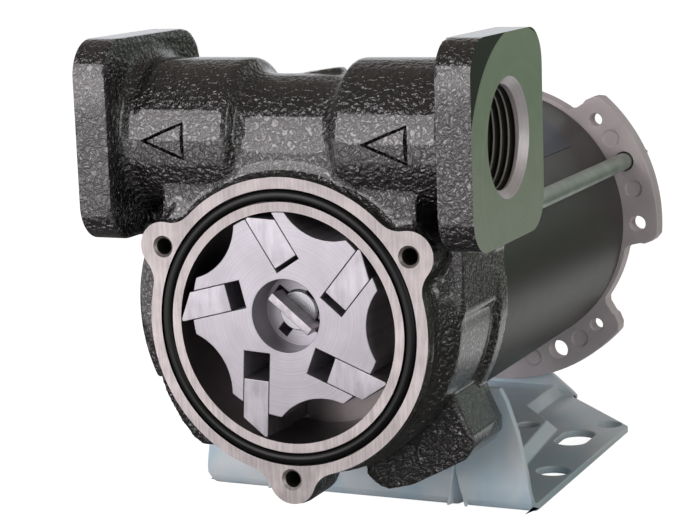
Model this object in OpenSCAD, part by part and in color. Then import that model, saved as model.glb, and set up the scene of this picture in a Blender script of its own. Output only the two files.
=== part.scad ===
// Electric vane pump for diesel fuel, shown with its front cover taken off.
// The chamber's centre on the machined rim is the drafting origin: X to the right as the
// open chamber is faced, Y towards the motor, Z up. Angles run counterclockwise from X.
// The finished part then stands on its foot bracket, centred over the origin.

/* [Ports and manifold] */
// Distance between the two port faces
port_span = 124.8; // [118:0.2:134]
// Height of the port axis above the centre of the chamber
port_rise = 54.5; // [52:0.5:60]
// Depth of the port axis behind the machined rim
port_setback = 21.7; // [20.5:0.1:24]
// Side of each square port flange
flange_side = 60; // [56:1:66]
// Thickness of each port flange
flange_thick = 10.8; // [8:0.2:13]
// Corner radius of each port flange
flange_corner_r = 11; // [6:1:14]
// Minor diameter of the one inch pipe thread
thread_d = 30.3; // [28:0.1:31]
// Diameter of the port's mouth at the end of its lead-in cone
thread_mouth_d = 35; // [33:0.5:38]
// Depth of the thread
thread_depth = 19; // [15:1:22]
// Diameter of the passage behind the thread
passage_d = 25; // [22:0.5:27]
// Outside diameter of the bosses behind the flanges
boss_d = 45.6; // [42:0.2:48]
// Outside diameter of the waist between the bosses
waist_d = 36; // [32:0.5:40]
// Length of the waist
waist_len = 20; // [14:1:24]
// Distance between the inner ends of the bosses
boss_gap = 37; // [34:0.5:42]
// Diameter of the two passages down to the chamber
channel_d = 18; // [14:0.5:20]
// Distance between those two passages
channel_gap = 52; // [46:1:56]
// Length of each flow arrow
arrow_len = 11.5; // [8:0.5:14]
// Height of each flow arrow
arrow_h = 10; // [7:0.5:12]
// Depth of the line round each flow arrow
arrow_depth = 1.2; // [0.6:0.1:2]

/* [Chamber] */
// Depth of the chamber
chamber_depth = 27; // [24:0.5:30]
// Running gap between rotor and chamber at the top
rotor_top_gap = 0.2; // [0.1:0.05:0.4]
// Width of the machined land inside the ring groove
land_w = 2.8; // [2:0.1:4]
// Width of the ring groove
groove_w = 3.9; // [3.7:0.1:4.4]
// Depth of the ring groove
groove_depth = 3; // [2.6:0.1:3.2]
// Section of the sealing ring
ring_section = 3.5; // [3:0.1:3.6]
// Width of the machined rim outside the ring groove
rim_w = 3.4; // [2.6:0.1:4.4]
// Height that the machined rim stands proud of the casting
rim_proud = 2.2; // [1:0.2:4]
// Circle on which the three cover screws lie
lug_pcd = 91.3; // [88:0.1:95]
// Width of each cover lug
lug_w = 15; // [13:0.5:17]
// Diameter of each tapped cover hole
lug_hole_d = 5; // [4:0.5:6]
// Depth of each tapped cover hole
lug_hole_depth = 14; // [10:1:16]
// Depth of the casting behind each cover lug
lug_depth = 18; // [16:1:24]

/* [Rotor and vanes] */
// Diameter of the rotor
rotor_d = 61.4; // [60:0.2:63]
// Height of the rotor's axis above the centre of the chamber
rotor_rise = 3.7; // [3.2:0.1:4.2]
// Thickness of each vane
vane_thick = 8.2; // [7:0.1:9]
// Length of each vane from its foot to its tip, as a share of the rotor's radius
vane_len_share = 0.56; // [0.54:0.005:0.58]
// Distance of each slot's middle from the rotor's axis, as a share of the rotor's radius
slot_offset_share = 0.297; // [0.26:0.001:0.32]
// Distance of each slot's floor from the rotor's middle, as a share of the rotor's radius
slot_floor_share = 0.39; // [0.36:0.005:0.4]
// Angle of the bevel on each vane's tip
bevel_angle = 35; // [25:1:40]
// Rounding of the edge that rubs on the chamber
tip_r = 0.7; // [0.4:0.1:1]
// Diameter of the scallop between two slots, as a share of the rotor's diameter
scallop_share = 0.58; // [0.5:0.01:0.62]
// Distance of the scallop's floor from the rotor's axis, as a share of the rotor's radius
scallop_floor_share = 0.834; // [0.78:0.002:0.9]
// Diameter of the rotor's front recess
recess_d = 21.8; // [20:0.2:24]
// Depth of the rotor's front recess
recess_depth = 9.8; // [8:0.2:12]
// Length of the flat drive key
key_len = 16.3; // [14:0.1:17.5]
// Thickness of the flat drive key
key_t = 2.6; // [2:0.1:3]
// Width of the four notches that the key may sit in
notch_w = 3.4; // [3.2:0.1:4]

/* [Motor] */
// Outside diameter of the motor shell
shell_d = 95.8; // [94:0.2:98]
// Wall of the motor shell
shell_wall = 4; // [3:0.2:4.6]
// Length of the motor shell
shell_len = 135.2; // [130:0.2:145]
// Diameter of the motor shaft in the front bearing
journal_d = 12; // [10:0.5:13]
// Diameter of the motor shaft in the rear bearing
tail_d = 10; // [8:0.5:11]
// Diameter of the motor shaft under the armature
core_shaft_d = 16; // [14:0.5:18]
// Thickness of the magnets inside the shell
magnet_t = 6.3; // [5:0.1:8]
// Air gap between magnets and armature
air_gap = 1.1; // [0.8:0.1:1.5]
// Length of the armature's lamination stack
armature_len = 54; // [44:1:58]
// Diameter of the commutator
commutator_d = 34; // [30:0.5:38]
// Diameter of the tie rods
tie_d = 6; // [5:0.5:6.5]
// Gap between the motor shell and the tie rods
tie_gap = 2.3; // [2:0.1:4]
// Thickness of the end cover's plate
cover_t = 7; // [6:0.5:9]
// How far each ear of the end cover reaches beyond the shell
ear_reach = 12.6; // [11.5:0.1:14]
// How far the end cover reaches beyond the shell between its ears
cover_reach = 1.5; // [1.2:0.1:3]

/* [Foot bracket] */
// Gap between the end cover's ears and the raised middle of the base
base_gap = 3.2; // [2.5:0.1:8]
// Thickness of the bracket's sheet
sheet_t = 2.5; // [2:0.1:3]
// Width of the bracket's base
bracket_w = 111; // [108:1:118]
// Width of the bracket's rear tongue
tongue_w = 50; // [44:0.5:56]
// Height that the middle of the base is raised
raise_h = 3.5; // [2:0.5:5]
// Diameter of the two front foot holes
foot_hole_d = 11; // [9:0.5:12]
// Diameter of the two rear foot holes
back_hole_d = 8.5; // [7:0.5:9.5]
// Distance of the foot holes from the sides of the base
foot_hole_edge = 7; // [6.5:0.5:9]

/* [Hidden] */
$fn = 48;
// How far a cut runs past the face that it opens
overrun = 1;
// One millimetre, for small steps that no named size gives
mm = 1;
// Gap of a running or a sliding fit, on the radius
fit = 0.05;
// Gap between pieces that move past each other more freely
clear = 0.3;

// Rings round the chamber
rotor_r = rotor_d / 2;
chamber_r = rotor_r + rotor_rise + rotor_top_gap;
groove_in_r = chamber_r + land_w;
groove_out_r = groove_in_r + groove_w;
rim_r = groove_out_r + rim_w;
rim_step = 0.6;
lug_angles = [30, 150, 270];
lug_fillet = 8;
lug_mouth = 0.8;

// Depths along Y, from the machined rim to the motor
wall_t = 2.5;
seal_y = chamber_depth + wall_t;
seal_len = 6;
seal_d = 24;
front_bearing_d = 32;
front_bearing_w = 10;
rear_bearing_d = 30;
rear_bearing_w = 9;
body_depth = seal_y + seal_len + front_bearing_w + 1.5 * mm;
band_w = 7;
band_r = shell_d / 2 + 4.4 * mm;
spigot_len = 3;
spigot_r = shell_d / 2 - shell_wall - fit;
spigot_wall = 4.8;
drum_r = band_r - 1.8 * mm;
drum_shoulder_y = 11;
web_w = 82;
web_y = 3;
web_back = 42;
cheek_w = 103;

// Legs, in shares of half the distance across them
bolt_gap = 9.1;
leg_inset = 7;
leg_half = shell_d / 2 + bolt_gap - leg_inset;
leg_y = 20.5;
right_leg_share = [[0.88, -0.44], [0.99, -0.68], [0.99, -0.76], [0.94, -0.83], [0.6, -1.01],
    [0.45, -1.05], [0.39, -1.04], [0.3, -0.97], [0.3, -0.6]];
left_leg_share = [[-1, -0.24], [-1.11, -0.38], [-1.05, -0.56], [-0.96, -0.72], [-0.87, -0.83],
    [-0.81, -0.87], [-0.71, -0.87], [-0.52, -0.86], [-0.52, -0.6]];
// Gate stub on the waist
gate_x = -3;
gate_len = 13;
gate_h = 1.6;
gate_w = 6;
gate_back = 1;
gate_share = 0.86;
// The cast passage that bulges on the left side
bulge_r = drum_r + 1.6 * mm;
bulge_angles = [138, 206];
bulge_depth = 34;

// Passages and the bypass valve in the wall between them
port_x = port_span / 2;
passage_wall = 12;
seat_d = 12;
channel_y = 15;
channel_end_share = 0.55;
poppet_d = 17;
poppet_t = 3;
poppet_lift = 4;
guide_d = 8;
guide_len = 6;
retainer_x = 38;
retainer_t = 2.5;
spring_d = 12;
spring_wire = 1.4;

// Slots and vanes. The tip's rounding is centred tip_side from the slot's radial line. The tip
// follows the wall when the vane slides by a cosine of the rotor's angle, whose swing and phase
// follow from the rotor's rise and that side distance.
vane_count = 5;
first_slot = 122.3;
slot_pitch = 360 / vane_count;
slot_play = 0.1;
tip_gap = 0.05;
side_play = 0.2;
scallop_lead = 18.7;
vane_len = rotor_r * vane_len_share;
slot_offset = rotor_r * slot_offset_share;
slot_floor = rotor_r * slot_floor_share;
scallop_d = rotor_d * scallop_share;
scallop_floor = rotor_r * scallop_floor_share;
vane_face = slot_offset - vane_thick / 2;
tip_side = vane_face + tip_r;
tip_path_r = chamber_r - tip_r - tip_gap;
tip_mean = sqrt(tip_path_r * tip_path_r - tip_side * tip_side);
side_swing = tip_side * rotor_rise / tip_mean;
vane_swing = norm([rotor_rise, side_swing]);
swing_phase = atan2(-rotor_rise, side_swing);
vane_centre = tip_mean - rotor_rise * rotor_rise / (2 * tip_mean);
swing_centre = [0, rotor_rise] + (vane_swing / 2) * unit(swing_phase);
rotor_len = chamber_depth - 2 * side_play;

// Key, shaft and washer
key_angle = -39.3;
key_y = 3;
key_depth = 11;
shaft_nose_y = 8.6;
washer_t = 1;
washer_d = 34;
washer_bore = journal_d + vane_swing + 2 * clear;

// Motor
shell_y = body_depth;
cover_y = shell_y + shell_len;
cover_back = cover_y + cover_t;
journal_end = body_depth + spigot_len;
shell_in_r = shell_d / 2 - shell_wall;
armature_d = 2 * (shell_in_r - magnet_t - air_gap);
magnet_arc = 70;
magnet_len = 64;
winding_len = 12;
core_lead = 30;
core_y = body_depth + spigot_len + core_lead;
core_end = core_y + armature_len;
commutator_y = core_end + winding_len + 2 * overrun;
commutator_len = 20;
slot_count = 12;
slot_d = 7;
slot_mouth = 2.4;
core_slot_r = armature_d / 2 - slot_d / 2 - 2 * overrun;
brush_h = 6;
brush_w = 9;
brush_len = 15.5;
brush_lift = 4;
box_wall = 0.8;
box_len = 20.2;
card_t = 2;
brush_y = commutator_y + 5 * mm;
card_y = brush_y + brush_w + fit;
cover_spigot_len = 4;
cover_spigot_wall = 5;
cover_bowl = 5;
rear_bearing_y = cover_back + 0.8 * mm;
wave_t = 1.5;
hub_wall = 4;
hub_end_t = 5.5;
hub_back = rear_bearing_y + rear_bearing_w + wave_t + hub_end_t;
hub_r = rear_bearing_d / 2 + hub_wall;
// Ball bearings, in shares of their outside diameter and of the ball
ball_share = 0.18;
race_share = 0.63;
front_y = body_depth - front_bearing_w;
front_ball = front_bearing_d * ball_share;
rear_ball = rear_bearing_d * ball_share;

// Ears of the end cover: holes and marks in degrees from each ear's middle
ear_turn = 25;
ear_from = -32.5;
ear_to = 27.5;
ear_corner_r = 4.5;
ear_fillet = 5;
ear_root = 5;
ear_lean = 5;
ear_d = shell_d + 2 * ear_reach;
cover_d = shell_d + 2 * cover_reach;
tie_pcd = shell_d + 2 * tie_gap + tie_d;
tie_hole_d = 7;
mark_angles = [-11.3, 10.3];
mark_d = 6;
mark_depth = 0.4;
small_hole_angle = 19.5;
small_hole_d = 4.6;
side_hole_angle = -25;
side_hole_d = 5.6;
tie_angles = [25, 205];
tie_lug_w = 15;
tie_lug_fillet = 6;
tie_head_af = 10;
tie_head_t = 5;
tie_washer_d = 12;
tie_washer_t = 1.2;
tie_start = body_depth - band_w;

// Foot bracket, measured from its own middle line
base_drop = ear_d / 2 - rotor_rise + base_gap + raise_h + sheet_t;
foot_hole_gap = bracket_w - 2 * foot_hole_edge;
bracket_shift = 2;
bend_r = 9;
upright_y = body_depth;
upright_back = upright_y + sheet_t;
arch_gap = 0.3;
tongue_y = cover_back;
tongue_back = tongue_y + sheet_t;
tongue_top = 22;
tongue_bend_r = 5;
taper_y = 153;
upright_share = [[0.84, -0.39], [0.88, -0.45], [0.94, -0.6], [0.99, -0.8], [1.01, -0.92]];
crest_share = [[0.68, 0.04], [0.54, 0.62], [0.29, 0.76], [0.29, 1]];
bolt_reach = shell_d / 2 + bolt_gap;
bolt_angles = [-46, -134];
bolt_d = 6;
bolt_len = 14;
bolt_head_af = 10;
bolt_head_t = 4;
bolt_washer_d = 12;
bolt_washer_t = 1.6;
tongue_screw_d = 5;
ear_hole_drop = tie_pcd / 2;
tongue_screw_head = 8;
slot_hole_len = 20;
slot_hole_edge = 13;
slot_hole_x = bracket_w / 2 - slot_hole_edge;
slot_hole_y = 132.5;
front_hole_y = 91;
crest_hole_d = 8;
crest_hole_share = 0.463;
dart_share = 0.56;
dart_h = 16;
dart_half = 3.6;
label_t = 0.3;
label_start = 95;
label_end = 157.5;
label_angles = [40, 140];
grommet_d = 12;
grommet_bore = 6;
grommet_x = 27;

// Place of the finished part over its own origin
mid_depth = (hub_back + port_setback - flange_side / 2) / 2;

function unit(a) = [cos(a), sin(a)];
function polar(r, a) = r * unit(a);
function vane_tip(a) = vane_centre + vane_swing * cos(a - swing_phase);
function slot_angle(k) = first_slot - slot_pitch * (k - 1);
function tip_place(a) = [0, rotor_rise] + vane_tip(a) * unit(a) - tip_side * unit(a + 90);
function wall_gap(a) = chamber_r - norm(tip_place(a)) - tip_r;
echo(least_tip_gap = min([for (a = [0 : 5 : 355]) wall_gap(a)]));
echo(widest_tip_gap = max([for (a = [0 : 5 : 355]) wall_gap(a)]));
echo(swing_centre = swing_centre, vane_swing = vane_swing, swing_phase = swing_phase);
echo(vane_pivots = [for (k = [1 : 5]) swing_centre + (vane_swing / 2) * unit(2 * slot_angle(k) - swing_phase)]);
echo(mid_depth = mid_depth, hub_back = hub_back, chamber_r = chamber_r, cover_back = cover_back);

// Moves a piece from the drafting origin to its place over the foot
module placed() {
    translate([0, -mid_depth, base_drop]) children();
}

// Moves a piece onto the axis of rotor and motor
module on_shaft() {
    translate([0, 0, rotor_rise]) children();
}

// A flat outline, seen from the front, h deep from depth y
module slab(y, h) {
    translate([0, y + h, 0]) rotate([90, 0, 0]) linear_extrude(h) children();
}

// A profile of [radius, depth] points turned about the Y axis
module turned(points) {
    rotate([-90, 0, 0]) rotate_extrude() polygon(points);
}

// A profile of [radius, x] points turned about the X axis
module turned_across(points) {
    rotate([0, 90, 0]) rotate_extrude() polygon(points);
}

// A plain round rod or, with a bore, a tube along Y
module rod(y, h, d, bore = 0) {
    slab(y, h) difference() {
        circle(d = d);
        if (bore > 0) circle(d = bore);
    }
}

module rounded_square(side, r) {
    square([side - 2 * r, side], center = true);
    square([side, side - 2 * r], center = true);
    for (x = [-1, 1]) for (y = [-1, 1]) translate([x, y] * (side / 2 - r)) circle(r);
}

// A disc with lugs that run into it through fillets
function fillet_centre(big, small, fillet, reach) =
    let (turn = acos((pow(big + fillet, 2) + reach * reach - pow(small + fillet, 2))
        / (2 * reach * (big + fillet))))
    polar(big + fillet, turn);

module lug_outline(big, small, fillet, reach, angles) {
    centre = fillet_centre(big, small, fillet, reach);
    for (a = angles) rotate(a) {
        translate([reach, 0]) circle(small);
        for (side = [-1, 1]) difference() {
            polygon([[0, 0], [reach, 0], [centre.x, side * centre.y]]);
            translate([centre.x, side * centre.y]) circle(fillet);
        }
    }
}

module sector(r, from, to) {
    polygon(concat([[0, 0]], [for (i = [0 : 6]) polar(r, from + (to - from) * i / 6)]));
}

module hexagon_prism(y, h, across) {
    slab(y, h) circle(d = across / cos(30), $fn = 6);
}

// Casting with ports, chamber, lugs and legs
module port_casting() {
    boss_x = port_x - flange_thick;
    round_r = flange_thick / 3;
    shoulder = boss_gap / 2;
    waist_x = waist_len / 2;
    boss_r = boss_d / 2;
    waist_r = waist_d / 2;
    step = boss_r - waist_r;
    lip = step / 2;
    half = concat(
        [for (i = [0 : 4]) let (a = 90 * i / 4)
            [waist_r + lip * (1 - cos(a)), waist_x + (shoulder - lip - waist_x) * sin(a)]],
        [for (i = [0 : 4]) let (a = 90 * i / 4)
            [boss_r - lip + lip * sin(a), shoulder - lip * cos(a)]],
        [for (i = [0 : 4]) let (a = 90 * i / 4)
            [boss_r + round_r * (1 - cos(a)), boss_x - round_r * (1 - sin(a))]]);
    count = len(half);
    whole = concat([[0, -boss_x]],
        [for (i = [count - 1 : -1 : 0]) [half[i].x, -half[i].y]], half, [[0, boss_x]]);
    translate([0, port_setback, port_rise]) {
        turned_across(whole);
        for (side = [-1, 1]) translate([side * port_x - (side + 1) / 2 * flange_thick, 0, 0])
            rotate([90, 0, 90]) linear_extrude(flange_thick)
                rounded_square(flange_side, flange_corner_r);
    }
}

module arrow_line(tip_x) {
    line = arrow_h / 8;
    translate([tip_x, port_rise]) difference() {
        polygon([[0, 0], [arrow_len, -arrow_h / 2], [arrow_len, arrow_h / 2]]);
        translate([line * 2.2, 0]) polygon([[0, 0],
            [arrow_len - line * 2.8, -arrow_h / 2 + line], [arrow_len - line * 2.8, arrow_h / 2 - line]]);
    }
}

module casting() {
    port_casting();
    slab(0, rim_proud) {
        circle(rim_r);
        lug_outline(rim_r, lug_w / 2, lug_fillet, lug_pcd / 2, lug_angles);
    }
    slab(rim_proud, lug_depth - rim_proud) for (a = lug_angles) rotate(a) {
        translate([lug_pcd / 2, 0]) circle(lug_w / 2 + rim_step);
        translate([0, -lug_w / 2 - rim_step]) square([lug_pcd / 2, lug_w + 2 * rim_step]);
    }
    rod(rim_proud, chamber_depth, 2 * (rim_r + rim_step));
    on_shaft() {
        turned([[0, rim_proud + overrun], [rim_r - rotor_rise, rim_proud + overrun],
            [drum_r, drum_shoulder_y], [drum_r, body_depth - band_w - 2 * overrun],
            [band_r, body_depth - band_w], [band_r, body_depth], [0, body_depth]]);
        slab(body_depth - band_w - 2 * overrun, band_w + 2 * overrun)
            lug_outline(band_r, tie_lug_w / 2, tie_lug_fillet, tie_pcd / 2, tie_angles);
        intersection() {
            turned([[0, rim_proud], [bulge_r - 5 * mm, rim_proud],
                [bulge_r - 1.5 * mm, rim_proud + 1.5 * mm], [bulge_r, rim_proud + 5 * mm],
                [bulge_r, bulge_depth], [drum_r, bulge_depth + mm], [0, bulge_depth + mm]]);
            slab(0, body_depth) sector(2 * bulge_r, bulge_angles[0], bulge_angles[1]);
        }
        rod(body_depth - overrun, spigot_len + overrun, 2 * spigot_r);
    }
    // Web under the manifold and its wider cheeks
    translate([-web_w / 2, web_y, 0]) cube([web_w, web_back - web_y, port_rise]);
    translate([-cheek_w / 2, drum_shoulder_y, rotor_rise])
        cube([cheek_w, body_depth - drum_shoulder_y, port_rise - flange_side / 2]);
    // Legs
    slab(leg_y, body_depth - leg_y) {
        polygon(leg_half * right_leg_share);
        polygon(leg_half * left_leg_share);
    }
    // Gate stub left on top of the waist, a low wedge that rises to the right
    slab(port_setback + gate_back, gate_w) translate([gate_x, port_rise + waist_d / 2])
        polygon([[0, -gate_h], [0, 0], [gate_len * gate_share, gate_h], [gate_len, gate_h], [gate_len, -gate_h]]);
}

module port_cuts() {
    cone = (thread_mouth_d - thread_d) / 2;
    translate([0, port_setback, port_rise]) {
        for (side = [-1, 1]) mirror([side < 0 ? 1 : 0, 0, 0]) turned_across([
            [0, passage_wall / 2], [passage_d / 2, passage_wall / 2],
            [passage_d / 2, port_x - thread_depth - cone], [thread_d / 2, port_x - thread_depth],
            [thread_d / 2, port_x - cone], [thread_mouth_d / 2, port_x],
            [thread_mouth_d / 2, port_x + overrun], [0, port_x + overrun]]);
        turned_across([[0, -passage_wall], [seat_d / 2, -passage_wall],
            [seat_d / 2, passage_wall], [0, passage_wall]]);
    }
    // Passages from the ports down to the chamber
    for (side = [-1, 1]) translate([side * channel_gap / 2, channel_y, chamber_r * channel_end_share])
        cylinder(h = port_rise - chamber_r * channel_end_share, d = channel_d);
    // Flow arrows, both pointing from the inlet on the right to the outlet on the left
    boss_front = port_setback - boss_d / 2;
    slab(boss_front - overrun, overrun + arrow_depth + clear)
        for (x = [-boss_gap / 2 - arrow_len - 12.7 * mm, boss_gap / 2 + 9.6 * mm]) arrow_line(x);
}

module chamber_cuts() {
    rod(-overrun, chamber_depth + overrun, 2 * chamber_r);
    rod(-overrun, groove_depth + overrun, 2 * groove_out_r, 2 * groove_in_r);
    translate([swing_centre.x, 0, swing_centre.y])
        rod(chamber_depth - overrun, overrun + washer_t + 2 * fit, washer_d + 4 * fit);
    on_shaft() {
        rod(chamber_depth, wall_t + overrun, journal_d + 3 * clear);
        rod(seal_y, body_depth - seal_y, seal_d);
        rod(body_depth - front_bearing_w, front_bearing_w + spigot_len + overrun, front_bearing_d);
        rod(body_depth, spigot_len + overrun, 2 * (spigot_r - spigot_wall));
    }
    for (a = lug_angles) rotate([0, -a, 0]) translate([lug_pcd / 2, 0, 0]) {
        turned([[0, -overrun], [lug_hole_d / 2 + lug_mouth + overrun, -overrun],
            [lug_hole_d / 2, lug_mouth], [lug_hole_d / 2, lug_hole_depth], [0, lug_hole_depth]]);
    }
}

module rear_cuts() {
    on_shaft() {
        for (a = tie_angles) rotate([0, -a, 0]) translate([tie_pcd / 2, 0, 0])
            rod(body_depth - band_w - 3 * mm, band_w + 4 * mm, tie_d + 2 * fit);
        for (a = bolt_angles) rotate([0, -a, 0]) translate([bolt_reach, 0, 0])
            rod(body_depth - bolt_len, bolt_len + overrun, bolt_d + 2 * fit);
    }
}

module pump_body() {
    color("#232225") placed() difference() {
        casting();
        port_cuts();
        chamber_cuts();
        rear_cuts();
    }
}

module cover_o_ring() {
    color("#111113") placed() translate([0, groove_depth - ring_section / 2, 0])
        rotate([90, 0, 0]) rotate_extrude()
            translate([(groove_in_r + groove_out_r) / 2, 0]) circle(d = ring_section);
}

// Rotor with one slot and one scallop to each vane
module rotor_outline() {
    difference() {
        circle(rotor_r);
        for (k = [1 : vane_count]) rotate(slot_angle(k)) {
            translate([slot_floor, -slot_offset - vane_thick / 2 - slot_play])
                square([rotor_d, vane_thick + 2 * slot_play]);
            rotate(scallop_lead) translate([scallop_floor + scallop_d / 2, 0]) circle(d = scallop_d);
        }
    }
}

module rotor() {
    color("#d6d3db") placed() on_shaft() difference() {
        slab(side_play, rotor_len) rotor_outline();
        rod(side_play - overrun, recess_depth + overrun, recess_d);
        rod(0, chamber_depth, journal_d + 2 * fit);
        slab(0, chamber_depth) for (turn = [0, 90]) rotate(key_angle + turn)
            square([key_len + 2.6 * mm, notch_w], center = true);
    }
}

// Vane k, resting where the chamber's wall puts it
module vane(k) {
    a = slot_angle(k);
    tip = vane_tip(a);
    foot = tip + tip_r - vane_len;
    back = -slot_offset - vane_thick / 2;
    mouth = tip_r * unit(-bevel_angle);
    drop = (mouth.y - tip_side - back) * tan(bevel_angle);
    color("#dddbe2") placed() on_shaft() slab(side_play, rotor_len) rotate(a) {
        polygon([[foot, -vane_face], [foot, back], [tip + mouth.x - drop, back],
            [tip + mouth.x, mouth.y - tip_side], [tip, -tip_side], [tip, -vane_face]]);
        translate([tip, -tip_side]) circle(tip_r);
    }
}

module vane_1() { vane(1); }
module vane_2() { vane(2); }
module vane_3() { vane(3); }
module vane_4() { vane(4); }
module vane_5() { vane(5); }

module drive_key() {
    color("#c9c6cc") placed() on_shaft() slab(key_y, key_depth) rotate(key_angle)
        square([key_len, key_t], center = true);
}

// Washer behind the rotor, centred on the middle of the vanes' swing
module rear_thrust_washer() {
    color("#a9a9ad") placed() translate([swing_centre.x, 0, swing_centre.y])
        rod(chamber_depth, washer_t, washer_d, washer_bore);
}

module shaft_seal() {
    lip = 1.2;
    color("#3a2a22") placed() on_shaft() turned([[seal_d / 2, seal_y], [seal_d / 2, seal_y + seal_len],
        [seal_d / 2 - lip, seal_y + seal_len], [seal_d / 2 - lip, seal_y + 2 * lip],
        [journal_d / 2 + 2 * lip, seal_y + 2 * lip], [journal_d / 2 + lip, seal_y + seal_len / 2 + lip],
        [journal_d / 2 + fit, seal_y + seal_len / 2], [journal_d / 2 + lip, seal_y]]);
}

// Bypass valve in the wall between the two passages
module on_port_axis() {
    translate([0, port_setback, port_rise]) children();
}

module bypass_poppet() {
    seat = passage_wall / 2;
    pilot = seat_d / 2 - 2 * clear;
    color("#b9b08a") placed() on_port_axis() turned_across([
        [0, seat / 2], [pilot, seat / 2], [pilot, seat], [poppet_d / 2, seat],
        [poppet_d / 2, seat + poppet_t], [guide_d / 2, seat + poppet_t],
        [guide_d / 2, seat + poppet_t + guide_len], [0, seat + poppet_t + guide_len]]);
}

module bypass_spring() {
    start = passage_wall / 2 + poppet_t;
    coils = 7;
    color("#9fa2a6") placed() on_port_axis() difference() {
        turned_across(concat([[spring_d / 2 - spring_wire, start]],
            [for (i = [0 : coils]) for (edge = [0, 1])
                [spring_d / 2 - edge * spring_wire / 3, start + (retainer_x - start) * (2 * i + edge)
                    / (2 * coils + 1)]], [[spring_d / 2 - spring_wire, retainer_x]]));
    }
}

module bypass_retainer() {
    nose = spring_d / 2 - spring_wire - clear;
    color("#b9b08a") placed() on_port_axis() difference() {
        turned_across([[0, retainer_x - guide_len / 2], [nose, retainer_x - guide_len / 2],
            [nose, retainer_x], [passage_d / 2 - fit, retainer_x],
            [passage_d / 2 - fit, retainer_x + retainer_t], [0, retainer_x + retainer_t]]);
        for (a = [0 : 60 : 300]) rotate([a, 0, 0]) translate([retainer_x - overrun, 0, passage_d / 3])
            rotate([0, 90, 0]) cylinder(h = retainer_t + 2 * overrun, d = passage_d / 5);
    }
}

// Shaft with a slot for the key in its nose
module motor_shaft() {
    color("#b7b8bc") placed() on_shaft() difference() {
        turned([[0, shaft_nose_y], [journal_d / 2 - clear, shaft_nose_y],
            [journal_d / 2, shaft_nose_y + clear], [journal_d / 2, journal_end],
            [core_shaft_d / 2, journal_end], [core_shaft_d / 2, commutator_y + commutator_len],
            [tail_d / 2, commutator_y + commutator_len],
            [tail_d / 2, rear_bearing_y + rear_bearing_w], [0, rear_bearing_y + rear_bearing_w]]);
        slab(0, key_y + key_depth + fit) rotate(key_angle)
            square([journal_d + 2 * overrun, key_t + 2 * fit], center = true);
    }
}

// Ball bearing: rings share a groove that clears the balls
module bearing_ring(y, width, outer, bore, ball, inner) {
    pitch = (outer + bore) / 4;
    gap = ball * race_share / 2;
    from = inner ? bore / 2 : pitch + gap;
    to = inner ? pitch - gap : outer / 2;
    difference() {
        rod(y, width, 2 * to, 2 * from);
        translate([0, y + width / 2, 0]) rotate([90, 0, 0]) rotate_extrude()
            translate([pitch, 0]) circle(d = ball + 2 * fit);
    }
}

module bearing_balls(y, width, outer, bore, ball) {
    pitch = (outer + bore) / 4;
    for (a = [0 : 45 : 315]) rotate([0, a, 0]) translate([pitch, y + width / 2, 0]) sphere(d = ball);
    rod(y + width / 2 - ball / 8, ball / 4, 2 * pitch + ball / 4, 2 * pitch - ball / 4);
}

module front_bearing_outer_ring() {
    color("#c4c6ca") placed() on_shaft()
        bearing_ring(front_y, front_bearing_w, front_bearing_d, journal_d, front_ball, false);
}

module front_bearing_inner_ring() {
    color("#c4c6ca") placed() on_shaft()
        bearing_ring(front_y, front_bearing_w, front_bearing_d, journal_d, front_ball, true);
}

module front_bearing_balls() {
    color("#dfe0e3") placed() on_shaft()
        bearing_balls(front_y, front_bearing_w, front_bearing_d, journal_d, front_ball);
}

module rear_bearing_outer_ring() {
    color("#c4c6ca") placed() on_shaft()
        bearing_ring(rear_bearing_y, rear_bearing_w, rear_bearing_d, tail_d, rear_ball, false);
}

module rear_bearing_inner_ring() {
    color("#c4c6ca") placed() on_shaft()
        bearing_ring(rear_bearing_y, rear_bearing_w, rear_bearing_d, tail_d, rear_ball, true);
}

module rear_bearing_balls() {
    color("#dfe0e3") placed() on_shaft()
        bearing_balls(rear_bearing_y, rear_bearing_w, rear_bearing_d, tail_d, rear_ball);
}

module bearing_wave_washer() {
    rim = rear_bearing_d / 2 - fit;
    y = rear_bearing_y + rear_bearing_w;
    color("#8e8f93") placed() on_shaft() turned([[rim, y], [rim, y + wave_t / 2],
        [rim - wave_t, y + wave_t], [rim - 2 * wave_t, y + wave_t], [rim - 2 * wave_t, y + wave_t / 2]]);
}

module motor_shell() {
    color("#33302f") placed() on_shaft() rod(shell_y, shell_len, shell_d, 2 * shell_in_r);
}

module field_magnets() {
    mid = core_y + armature_len / 2;
    color("#4a4a4e") placed() on_shaft() slab(mid - magnet_len / 2, magnet_len)
        for (a = [45 : 90 : 315]) intersection() {
            difference() {
                circle(shell_in_r);
                circle(shell_in_r - magnet_t);
            }
            sector(2 * shell_in_r, a - magnet_arc / 2, a + magnet_arc / 2);
        }
}

// Armature: lamination stack, windings and commutator
module armature_core() {
    color("#6c6a70") placed() on_shaft() slab(core_y, armature_len) difference() {
        circle(d = armature_d);
        circle(d = core_shaft_d);
        for (i = [1 : slot_count]) rotate(i * 360 / slot_count) {
            translate([core_slot_r, 0]) circle(d = slot_d);
            translate([core_slot_r, -slot_mouth / 2]) square([armature_d, slot_mouth]);
        }
    }
}

module winding_end(y) {
    edge = winding_len / 4;
    outer = core_slot_r + slot_d / 2 - overrun / 2;
    turned([[core_shaft_d / 2 + edge, y + edge], [core_shaft_d / 2 + 2 * edge, y], [outer - edge, y],
        [outer, y + edge], [outer, y + winding_len - edge], [outer - edge, y + winding_len],
        [core_shaft_d / 2 + 2 * edge, y + winding_len], [core_shaft_d / 2 + edge, y + winding_len - edge]]);
}

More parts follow.
